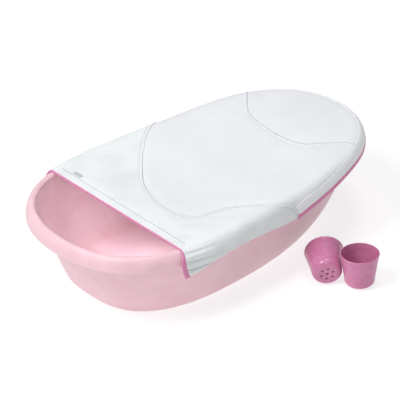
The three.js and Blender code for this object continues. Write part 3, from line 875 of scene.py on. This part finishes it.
def cup_profile():
    """Outer wall, rolled lip, inner wall with two shallow steps, and a dished floor."""
    lean = (CUP_RIM - CUP_SHOULDER) / (CUP_HEIGHT - CUP_EDGE)
    edge = arc((CUP_SHOULDER - CUP_EDGE, CUP_EDGE), (CUP_EDGE, CUP_EDGE), -90, 0, 14)
    profile = [(0, 0.7 * MM), (8 * MM, 0.7 * MM), (14.6 * MM, 0.5 * MM), (16 * MM, 0.05 * MM)] + edge
    for z in np.linspace(CUP_EDGE, CUP_HEIGHT - 4 * MM, 12)[1:]:
        profile.append((CUP_SHOULDER + lean * (z - CUP_EDGE) - 0.35 * MM, z))
    bead = 1.15 * MM
    lip_z = CUP_HEIGHT - bead
    profile += [(CUP_RIM - 0.75 * MM, CUP_HEIGHT - 2.9 * MM)]
    profile += arc((CUP_RIM - bead, lip_z), (bead, bead), -35, 170, 14)
    inner = [(CUP_RIM - 2.35 * MM, CUP_HEIGHT - 2.4 * MM)]
    for z in np.linspace(CUP_HEIGHT - 5 * MM, CUP_EDGE + 5 * MM, 9):
        inner.append((CUP_SHOULDER + lean * (z - CUP_EDGE) - 0.35 * MM - CUP_WALL, z))
    low = CUP_SHOULDER - CUP_WALL - 0.35 * MM
    for inset, rise in ((0, 2.2), (0.2, 1.2), (0.9, 0.7)):
        inner.append((low - inset * MM, CUP_EDGE + rise * MM))
    centre, radius = (CUP_SHOULDER - CUP_EDGE, CUP_EDGE), CUP_EDGE - CUP_WALL - 0.9 * MM
    inner += arc(centre, (radius, radius), -8, -62, 8)
    floor = CUP_EDGE - radius
    step = CUP_SHOULDER - CUP_EDGE
    for out, rise in ((3.4, 0.5), (2.6, 0), (-3, -0.15), (-3.6, -0.6)):
        inner.append((step + out * MM, floor + rise * MM))
    return profile + inner + [(8 * MM, floor - 0.6 * MM), (0, floor - 0.6 * MM)]


def strainer_place():
    tilt = math.atan2(CUP_RIM - CUP_SHOULDER, CUP_HEIGHT - CUP_EDGE)
    mouth = Vector((math.cos(STRAINER_HEADING), math.sin(STRAINER_HEADING), 0)) * math.cos(tilt)
    mouth.z = math.sin(tilt)
    place = STRAINER_RIM - mouth * CUP_HEIGHT
    place.z += CUP_RIM * math.cos(tilt) + FLOOR_Z + 0.1 * MM
    return Matrix.Translation(place) @ Vector((0, 0, 1)).rotation_difference(mouth).to_matrix().to_4x4()


def drilled(piece, places, radius):
    """Cuts round holes along Z."""
    for x, y in places:
        profile = [(0, -5 * MM), (radius, -5 * MM), (radius, 9 * MM), (0, 9 * MM)]
        cutter = turned("cutter", profile, 28, (x, y, 0))
        cut = piece.modifiers.new("holes", "BOOLEAN")
        cut.operation, cut.solver, cut.object = "DIFFERENCE", "EXACT", cutter
        baked(piece)
        bpy.data.objects.remove(cutter)


def baked(piece):
    """Applies a piece's modifiers."""
    bpy.context.view_layer.update()
    made = bpy.data.meshes.new_from_object(piece.evaluated_get(bpy.context.evaluated_depsgraph_get()))
    piece.modifiers.clear()
    old, piece.data = piece.data, made
    bpy.data.meshes.remove(old)


scoop = turned("scoop_cup_moulding", cup_profile(), 160, foot_of("scoop_cup"))
finish_piece(scoop, "scoop_cup", "cup_plastic", CUP_PINK, "scoop_cup")

strainer = turned("strainer_cup_moulding", cup_profile(), 160)
_angles = np.arange(HOLE_COUNT) * 2 * np.pi / HOLE_COUNT
_holes = [(0, 0)] + [(HOLE_RING * math.cos(a), HOLE_RING * math.sin(a)) for a in _angles]
drilled(strainer, _holes, HOLE_RADIUS)
strainer.data.transform(strainer_place())
finish_piece(strainer, "strainer_cup", "cup_plastic", CUP_PINK, "strainer_cup")


# ------------------------------------------------------------------ sling panels

def pucker(plan, rim, phase=0.0):
    """Small puckers that run off a panel's sewn edges."""
    wave = np.sin(plan[..., 0] * 0.62 / MM + phase) * np.cos(plan[..., 1] * 0.55 / MM - phase)
    return 0.28 * MM * wave * np.exp(-rim / (5 * MM))


def drape(plan):
    """Long shallow unevenness of cloth held at its edges."""
    x, y = plan[..., 0] / MM, plan[..., 1] / MM
    return 0.35 * MM * (np.sin(x * 0.031 + y * 0.017) + np.sin(y * 0.043 - x * 0.012 + 1.1))


def corner_folds(plan):
    """The flap's slack gathers into level folds beside the front corner, and its hem ripples."""
    near = np.stack([plan[..., 0], -np.abs(plan[..., 1])], -1)
    station, beyond = station_of(near.reshape(-1, 2))
    beyond = beyond.reshape(plan.shape[:-1])
    x = at_station(RIM_LINE, station)[:, 0].reshape(plan.shape[:-1])
    slack = 1 - smoothstep(x, FRONT_EDGE + 4 * MM, FRONT_EDGE + 105 * MM)
    level = beyond / MM - (x - FRONT_EDGE) / MM * 0.05
    wave = (level - 27) * np.pi / 15.5
    fold = 1.6 * np.abs(np.sin(wave)) ** 0.7 - 0.8
    fold = fold * smoothstep(level, 20, 30) * (1 - smoothstep(level, 70, 80))
    ripple = np.sin(x / MM * 2 * np.pi / 13 + 0.4 * np.sin(x / MM * 0.13))
    ripple = ripple * np.exp(-np.abs(hem_run(x) - beyond) / (9 * MM))
    end = np.hypot(x - HEM_END, beyond - 62 * MM)
    pinch = np.exp(-end / (14 * MM)) * np.sin(5 * np.arctan2(beyond - 70 * MM, x - HEM_END - 4 * MM))
    return 2.9 * MM * slack**0.7 * fold + 0.35 * MM * ripple * (beyond > 0) + 0.9 * MM * pinch * (beyond > 0)


TOP = CLOTH_GAP + 2.5 * MM
LOW = TOP - CLOTH


def panel(name, borders, step, slot, look, node, low=LOW, high=TOP, relief=None, inset=0):
    """One panel of the sling, between two levels."""
    grid, rim = patch(*borders, step, inset)
    extra = pucker(grid, rim) + drape(grid) if relief is None else relief(grid, rim)
    piece = cloth_body(name, grid, rim, low, high, extra)
    return finish_piece(piece, "sling", slot, look, node)


hem_borders = (FRONT_LINE, HEM_FOLD, NEAR_TO_HEM, FAR_TO_HEM)
front_hem = panel(
    "sling_front_hem_fold", hem_borders, 4 * MM, "grey_mesh", MESH_KNIT, "sling_front_hem",
)

front_borders = (HEM_FOLD, PAD_LINE, NEAR_TO_PAD, FAR_TO_PAD)
front = panel(
    "sling_front_cloth", front_borders, 4 * MM, "grey_mesh", MESH_KNIT, "sling_front_panel",
)

near_borders = (NEAR_SEAM, SIDE_HEM, CORNER_EDGE, np.array([NEAR_SEAM[-1], NEAR_SEAM[-1]]))
far_borders = (FAR_SEAM, mirror(SIDE_HEM), mirror(CORNER_EDGE), np.array([FAR_SEAM[-1], FAR_SEAM[-1]]))


def side_relief(grid, rim):
    return corner_folds(grid) + pucker(grid, rim, 1.3)


for which, borders in (("near", near_borders), ("far", far_borders)):
    panel(
        f"sling_side_mesh_{which}", borders, 2.6 * MM, "grey_mesh", MESH_KNIT, f"sling_side_panel_{which}",
        relief=side_relief,
    )

band_borders = (BAND_LINE, BAND_HEM, NEAR_OVER_RIM, FAR_OVER_RIM)
band = panel(
    "sling_head_band_cloth", band_borders, 3.2 * MM, "white_mesh", WHITE_KNIT, "sling_head_band",
    relief=side_relief,
)


PAD_PRESSURE = 2.5
PAD_SWELL = 2 * MM  # the most that a pad's surface rises
SWELL_PASSES = 24  # times the swelling is evened out between neighbouring points
SEWN = 4.2 * MM  # a pad is held this far in from its seams
SWELL_FRAMES = 20


def inflated(piece, held):
    """Swells a closed panel by a cloth simulation, with some of its points held where they are."""
    rest = np.array([v.co for v in piece.data.vertices])
    group = piece.vertex_groups.new(name="held")
    group.add([int(i) for i in np.where(held)[0]], 1.0, "REPLACE")
    cloth = piece.modifiers.new("cloth", "CLOTH")
    settings = cloth.settings
    settings.quality = 6
    settings.mass = 0.25
    settings.tension_stiffness = settings.compression_stiffness = 12
    settings.bending_stiffness = 0.6
    settings.use_pressure = True
    settings.uniform_pressure_force = PAD_PRESSURE
    settings.vertex_group_mass = "held"
    settings.effector_weights.gravity = 0
    cloth.collision_settings.use_collision = False
    cloth.point_cache.frame_start, cloth.point_cache.frame_end = 1, SWELL_FRAMES
    scene = bpy.context.scene
    for step in range(1, SWELL_FRAMES + 1):
        scene.frame_set(step)
        bpy.context.view_layer.update()
    shown = piece.evaluated_get(bpy.context.evaluated_depsgraph_get())
    moved = np.array([v.co for v in shown.data.vertices]) - rest
    piece.modifiers.clear()
    scene.frame_set(1)
    links = np.array([e.vertices[:] for e in piece.data.edges])
    count = np.bincount(links.ravel(), minlength=len(rest))[:, None]
    for _ in range(SWELL_PASSES):
        total = np.zeros_like(moved)
        np.add.at(total, links[:, 0], moved[links[:, 1]])
        np.add.at(total, links[:, 1], moved[links[:, 0]])
        moved = np.where(held[:, None], 0, 0.5 * moved + 0.5 * total / count)
    far = np.linalg.norm(moved, axis=1)
    soft = PAD_SWELL * np.tanh(far / PAD_SWELL) / np.maximum(far, 1e-9)
    piece.data.vertices.foreach_set("co", (rest + moved * soft[:, None]).ravel())
    piece.data.update()


def padded_panel(name, borders, node):
    """A quilted panel: held at its seams and underneath, and swollen by its foam."""
    grid, rim = patch(*borders, 5 * MM)
    top = TOP - 0.6 * MM
    relief = pucker(grid, rim, 0.5) + drape(grid)
    piece = cloth_body(name, grid, rim, CLOTH_GAP + 0.3 * MM, top, relief, 0.5)
    places = np.array([v.co for v in piece.data.vertices])
    normals = np.array([v.normal for v in piece.data.vertices])
    _, away = nearest(places, lifted(np.vstack(borders), top))
    outward = normals[:, 2] > 0.15 * np.hypot(normals[:, 0], normals[:, 1])
    low = places[:, 2] < crest_at(places[:, 0]) - SAG - 4 * MM
    rolled = np.einsum("ij,ij->i", normals[:, :2], places[:, :2]) > 0
    free = outward | (rolled & low & (normals[:, 2] > -0.2))
    inflated(piece, (away < SEWN) | ~free)
    smoother = piece.modifiers.new("round", "SUBSURF")
    smoother.levels = smoother.render_levels = 1
    baked(piece)
    return finish_piece(piece, "sling", "padded_mesh", PAD_KNIT, node)


padded_panel("sling_centre_pad", (PAD_LINE, HEAD_LINE, NEAR_SIDE, FAR_SIDE), "sling_centre_panel")
_ends = [np.array([HEAD_LINE[k]] * 2) for k in (0, -1)]
padded_panel("sling_head_pad", (HEAD_LINE, HEAD_ARC, *_ends), "sling_head_panel")

FOAM_LEVELS, FOAM_EDGE = (-5.6 * MM, -0.6 * MM), 9 * MM
LINING_LEVELS, LINING_EDGE = (-7.7 * MM, -6.5 * MM), 6 * MM
foam = panel(
    "sling_pad_foam_layer", LAYER_BORDERS, 6 * MM, "foam", FOAM_WHITE, "sling_pad_foam",
    *FOAM_LEVELS, lambda grid, rim: drape(grid) * 0.5, FOAM_EDGE,
)
lining = panel(
    "sling_pad_lining_cloth", LAYER_BORDERS, 6 * MM, "white_mesh", WHITE_KNIT, "sling_pad_lining",
    *LINING_LEVELS, lambda grid, rim: 0 * rim, LINING_EDGE,
)


# ------------------------------------------------------------------ seams, stitches and tapes

def sideways(curve):
    """Unit left-hand normals of a flat curve."""
    tangent = unit(np.gradient(curve, axis=0))
    return np.stack([-tangent[:, 1], tangent[:, 0]], -1)


def capped(rings):
    """A tube's rings, with a point at the middle of each end."""
    return [rings[0].mean(0)[None], *rings, rings[-1].mean(0)[None]]


def seam_tape(name, curve, width, rise, level=TOP, patterned=False):
    """A narrow flat seam along a flat curve, arched a little over the cloth."""
    curve = curve_at(curve, np.linspace(0, 1, max(4, int(length_of(curve) / (1.6 * MM)))))
    side = sideways(curve)
    spread = np.linspace(-1, 1, 9)
    flat = curve[:, None] + side[:, None] * (spread * width / 2)[None, :, None]
    arch = rise * np.sqrt(np.clip(1 - spread**4, 0, 1))
    ripple = 0.12 * MM * np.sin(np.arange(len(curve)) * 1.1)[:, None]
    over = lifted(flat, level - 0.5 * MM + arch[None] + ripple)
    under = lifted(flat[:, ::-1], level - 1.1 * MM)
    rings = capped(np.concatenate([over, under], axis=1))
    along = np.pad(np.linspace(0, length_of(curve), len(curve)), 1, "edge") / MM
    if patterned:
        around = np.concatenate([flat, flat[:, ::-1]], axis=1)
        uvs = np.vstack([curve[:1], *around, curve[-1:]]) / MM
    else:
        across = [np.linspace(0, 2 * width / MM, len(r)) for r in rings]
        uvs = np.vstack([np.column_stack([np.full(len(c), a), c]) for c, a in zip(across, along)])
    piece = skin_rings(name, rings, uvs)
    merge(piece, 1e-7)
    return piece


def stitches(name, rows, look, slot, pitch=3.6 * MM, long=2.7 * MM, thick=0.85 * MM):
    """One mesh of many short raised stitches. Each row is a list of places and their outward normals."""
    points, faces = [], []
    turn = np.linspace(0, 2 * np.pi, 7)[:-1]
    for places, outward in rows:
        length = length_of(places)
        count = int(length / pitch)
        middle = (np.arange(count) + 0.5) / count
        half = long / 2 / length
        start, end = curve_at(places, middle - half), curve_at(places, middle + half)
        up = columns_at(middle * (len(places) - 1), np.arange(len(places)), outward)
        for a, b, n in zip(start, end, up):
            along = (b - a) / np.linalg.norm(b - a)
            n = n - along * (n @ along)
            n /= np.linalg.norm(n)
            across = np.cross(along, n)
            base = len(points)
            points.append(a - n * 0.3 * thick)
            for share, size, rise in ((0.12, 0.6, 0.05), (0.35, 1, 0.42), (0.65, 1, 0.42), (0.88, 0.6, 0.05)):
                centre = a * (1 - share) + b * share + n * rise * thick
                for t in turn:
                    points.append(centre + (across * math.cos(t) + n * 0.7 * math.sin(t)) * thick * size / 2)
            points.append(b - n * 0.3 * thick)
            last = len(points) - 1
            for k in range(6):
                m = (k + 1) % 6
                faces.append((base, base + 1 + m, base + 1 + k))
                for r in range(3):
                    low, high = base + 1 + 6 * r, base + 7 + 6 * r
                    faces.append((low + k, low + m, high + m, high + k))
                faces.append((last, base + 19 + k, base + 19 + m))
    piece = new_object(name, np.array(points), faces)
    merge(piece, 1e-8)
    return finish_piece(piece, "sling", slot, look)


def row_on(curve, offset, level=TOP):
    """A stitch row beside a flat curve: its places, and the way out of the cloth."""
    curve = curve_at(curve, np.linspace(0, 1, max(8, int(length_of(curve) / (3 * MM)))))
    side = sideways(curve)
    flat = curve + side * offset
    places = lifted(flat, level)
    beside = lifted(flat + side * MM, level) - places
    return places, unit(np.cross(np.gradient(places, axis=0), beside))


seam_pieces, seam_rows = [], []
PAD_SEAM_LINE = np.vstack([NEAR_BEHIND[::-1], PAD_LINE[1:-1], FAR_BEHIND])
for name, curve, width in (("pad", PAD_SEAM_LINE[8:-8], 7.5), ("head", HEAD_LINE, 3.2)):
    tape_piece = seam_tape("sling_seam_" + name, curve, width * MM, 0.75 * MM)
    finish_piece(tape_piece, "sling", "white_mesh", SEAM_WHITE)
    seam_pieces.append(tape_piece)
    for side in (-1, 1):
        seam_rows.append(row_on(curve, side * (width / 2 - 0.7) * MM, TOP + 0.25 * MM))
for name, curve, joint in (("near", NEAR_SEAM, PAD_LINE[0]), ("far", FAR_SEAM, PAD_LINE[-1])):
    to_pad = cut_at(curve[2:], joint)[0]
    tape_piece = seam_tape("sling_seam_side_" + name, to_pad, 4 * MM, 0.42 * MM, patterned=True)
    finish_piece(tape_piece, "sling", "grey_mesh", MESH_KNIT)
    seam_pieces.append(tape_piece)
for shift in (-1.2, 0):
    seam_rows.append(row_on(curve_at(HEM_FOLD, np.linspace(0, 1, 90)) + [shift * MM, 0], 0, TOP - 0.2 * MM))
seam_stitches = stitches("sling_seam_stitches", seam_rows, WHITE_THREAD, "white_mesh")


def swept(name, path, first, second, section, look, slot, node):
    """A closed tape: a section of (first, second) distances carried along a path in space."""
    rings = []
    for place, across, up in zip(path, first, second):
        rings.append(place + np.outer(section[:, 0], across) + np.outer(section[:, 1], up))
    ends = capped(rings)
    along = np.pad(distances_along(path), 1, "edge") / MM
    around = np.linspace(0, 2 * np.abs(section).sum(1).max() / MM, len(section))
    uvs = np.vstack([np.column_stack([np.full(len(r), a), around[: len(r)]]) for r, a in zip(ends, along)])
    piece = skin_rings(name, ends, uvs)
    merge(piece, 1e-7)
    return finish_piece(piece, "sling", slot, look, node)


def rounded_box(low, high, radius, steps=5):
    """A rounded rectangle's outline between two corners."""
    (x0, y0), (x1, y1) = low, high
    out = []
    for x, y, start in ((x1, y0, -90), (x1, y1, 0), (x0, y1, 90), (x0, y0, 180)):
        cx, cy = x + (radius if x == x0 else -radius), y + (radius if y == y0 else -radius)
        out += arc((cx, cy), (radius, radius), start, start + 90, steps)
    return np.array(out)


def rim_path(start, count, out, up):
    """A path round the rim beside the hem, from one start station, with its two directions."""
    around = np.linspace(start, 2 * STATIONS - start, count)
    path = rim_point(around, np.full(count, out), up - hem_at(at_station(RIM_LINE, around)[:, 0]))
    outward = np.column_stack([at_station(OUTWARD, around), np.zeros(count)])
    return path, outward, np.tile([0, 0, 1.0], (count, 1))


_near = np.array([front_edge(w) for w in np.linspace(hem_run(FRONT_EDGE) + 1 * MM, 0, 46)])
_middle = curve_at(np.array([_near[-1], mirror(_near[-1])]), np.linspace(0, 1, 160))[1:-1]
EDGE_FLAT = np.vstack([_near, _middle, mirror(_near)[::-1]])
EDGE_PATH = lifted(EDGE_FLAT, TOP - 1.6 * MM)
_beyond = np.maximum(station_of(EDGE_FLAT)[1], 0)
EDGE_PATH[:, 0] = FRONT_EDGE + swing(_beyond)
EDGE_OUT = unit(np.cross(unit(np.gradient(EDGE_PATH, axis=0)), np.array([-1.0, 0, 0])))
if EDGE_OUT[len(EDGE_OUT) // 2][2] < 0:
    EDGE_OUT = -EDGE_OUT
_wider = 1 + 1.6 * smoothstep(_beyond, 20 * MM, 50 * MM) + 0.06 * np.sin(np.arange(len(EDGE_PATH)) * 0.9)
front_tape = swept(
    "sling_front_binding_tape", EDGE_PATH, np.outer(_wider, [-1.0, 0, 0]), EDGE_OUT,
    rounded_box((-0.6 * MM, -1.1 * MM), (4.0 * MM, 2.0 * MM), 1.4 * MM),
    PINK_TAPE, "pink_binding", "sling_front_binding",
)

HEM_PATH, HEM_OUT, HEM_UP = rim_path(HEM_STATION + 0.4, 420, 3.2 * MM, 1.5 * MM)
head_tape = swept(
    "sling_head_binding_tape", HEM_PATH, HEM_OUT, HEM_UP,
    rounded_box((-1.5 * MM, -4.6 * MM), (2.1 * MM, 4.6 * MM), 1.3 * MM),
    PINK_TAPE, "pink_binding", "sling_head_binding",
)
tape_rows = [
    (HEM_PATH + HEM_OUT * 2.1 * MM + HEM_UP * 3.2 * MM, HEM_OUT),
    (EDGE_PATH + EDGE_OUT * 2.0 * MM + np.array([-1.2 * MM, 0, 0]), EDGE_OUT),
]
tape_stitches = stitches(
    "sling_binding_stitches", tape_rows, PINK_THREAD, "pink_binding", 3.2 * MM, 2.3 * MM, 0.5 * MM,
)

swept(
    "sling_hem_elastic_strip", *rim_path(near_station(FRONT_EDGE + 14 * MM), 500, 0.85 * MM, 2.5 * MM),
    rounded_box((-0.4 * MM, -3.4 * MM), (0.4 * MM, 3.4 * MM), 0.35 * MM, 3),
    ELASTIC, "elastic", "sling_hem_elastic",
)


def tag_piece():
    """A small folded label, a little curled at its free edge."""
    low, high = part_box("sling_tag")
    x, y = np.meshgrid(np.linspace(low.x, high.x, 9), np.linspace(low.y, high.y, 23), indexing="ij")
    flat = np.stack([x, y], -1)
    rim = np.minimum(np.minimum(x - low.x, high.x - x), np.minimum(y - low.y, high.y - y))
    curl = 0.9 * MM * ((y - low.y) / (high.y - low.y)) ** 3
    piece = cloth_body("sling_tag_label", flat, rim, TOP + 0.15 * MM, TOP + 0.75 * MM, curl, 0.6)
    return finish_piece(piece, "sling", "grey_tag", TAG_GREY, "sling_tag")


label = tag_piece()


# ------------------------------------------------------------------ each cloth's flat area, worked out and not kept

def flat_area(borders, inset=0):
    grid, _ = patch(*borders, 5 * MM, inset)
    a, b = grid[1:, 1:] - grid[:-1, :-1], grid[1:, :-1] - grid[:-1, 1:]
    return float(np.abs(a[..., 0] * b[..., 1] - a[..., 1] * b[..., 0]).sum() / 2)


def declare(borders, inset=0):
    """Works out a stretched panel's flat area, which nothing keeps."""
    area = flat_area(borders, inset)


declare(hem_borders)
declare(front_borders)
declare(near_borders)
declare(far_borders)
declare(LAYER_BORDERS, LINING_EDGE)
band_cut = (0.045, length_of(BAND_LINE) * 0.5 + length_of(BAND_HEM) * 0.5)
min(flat_area(band_borders), band_cut[0] * band_cut[1])


# ------------------------------------------------------------------ floor, light and camera

def floor_look():
    look = Look("studio_floor", 0.9, 0.1)
    fleck = look.ramp(look.noise(3, 2), 0.3, 0.7, 0, 1)
    tone = look.mix(fleck, (0.36, 0.36, 0.36), (0.38, 0.38, 0.38))
    return look.finish(tone, Emission_Color=(1, 1, 1), Emission_Strength=0.72)


FLOOR_REACH = 12
_corners = [(x * FLOOR_REACH, y * FLOOR_REACH, FLOOR_Z) for x, y in ((-1, -1), (1, -1), (1, 1), (-1, 1))]
floor = new_object("studio_floor", _corners, [(0, 1, 2, 3)])
floor.data.materials.append(floor_look())


def soft_light(name, place, target, size, power):
    data = bpy.data.lights.new(name, "AREA")
    data.shape, data.size, data.energy = "SQUARE", size, power
    lamp = bpy.data.objects.new(name, data)
    bpy.context.scene.collection.objects.link(lamp)
    lamp.location = place
    lamp.rotation_euler = (Vector(target) - Vector(place)).to_track_quat("-Z", "Y").to_euler()


soft_light("key", (-1.9, 0.15, 2.6), (-0.1, 0, 0.1), 1.4, 74)
soft_light("top", (0.45, -0.2, 2.9), (0.05, -0.05, 0), 1.0, 24)
soft_light("fill", (-1.9, -2.3, 1.9), (-0.1, 0, 0.1), 1.2, 12)
# Stands in for the daylight that comes through the mesh cloth.
soft_light("under_sling", (-0.09, -0.02, 0.104), (-0.19, 0.04, 0), 0.07, 0.18)

world = bpy.data.worlds.new("studio")
bpy.context.scene.world = world
world.use_nodes = True
world.node_tree.nodes["Background"].inputs["Color"].default_value = (1, 1, 1, 1)
world.node_tree.nodes["Background"].inputs["Strength"].default_value = 0.2
bpy.context.scene.view_settings.view_transform = "Standard"
bpy.context.scene.view_settings.look = "None"

AZIMUTH, ELEVATION = math.radians(-40.84), math.radians(31.52)
DISTANCE, LENS = 10.381, 486.8
TARGET = Vector((0.0069, 0.0106, 0.097))
camera_data = bpy.data.cameras.new("camera")
camera = bpy.data.objects.new("camera", camera_data)
bpy.context.scene.collection.objects.link(camera)
camera_data.lens = LENS
back = Vector((
    math.sin(AZIMUTH) * math.cos(ELEVATION), -math.cos(AZIMUTH) * math.cos(ELEVATION), math.sin(ELEVATION),
))
camera.location = TARGET + back * DISTANCE
camera.rotation_euler = (-back).to_track_quat("-Z", "Y").to_euler()
bpy.context.scene.camera = camera
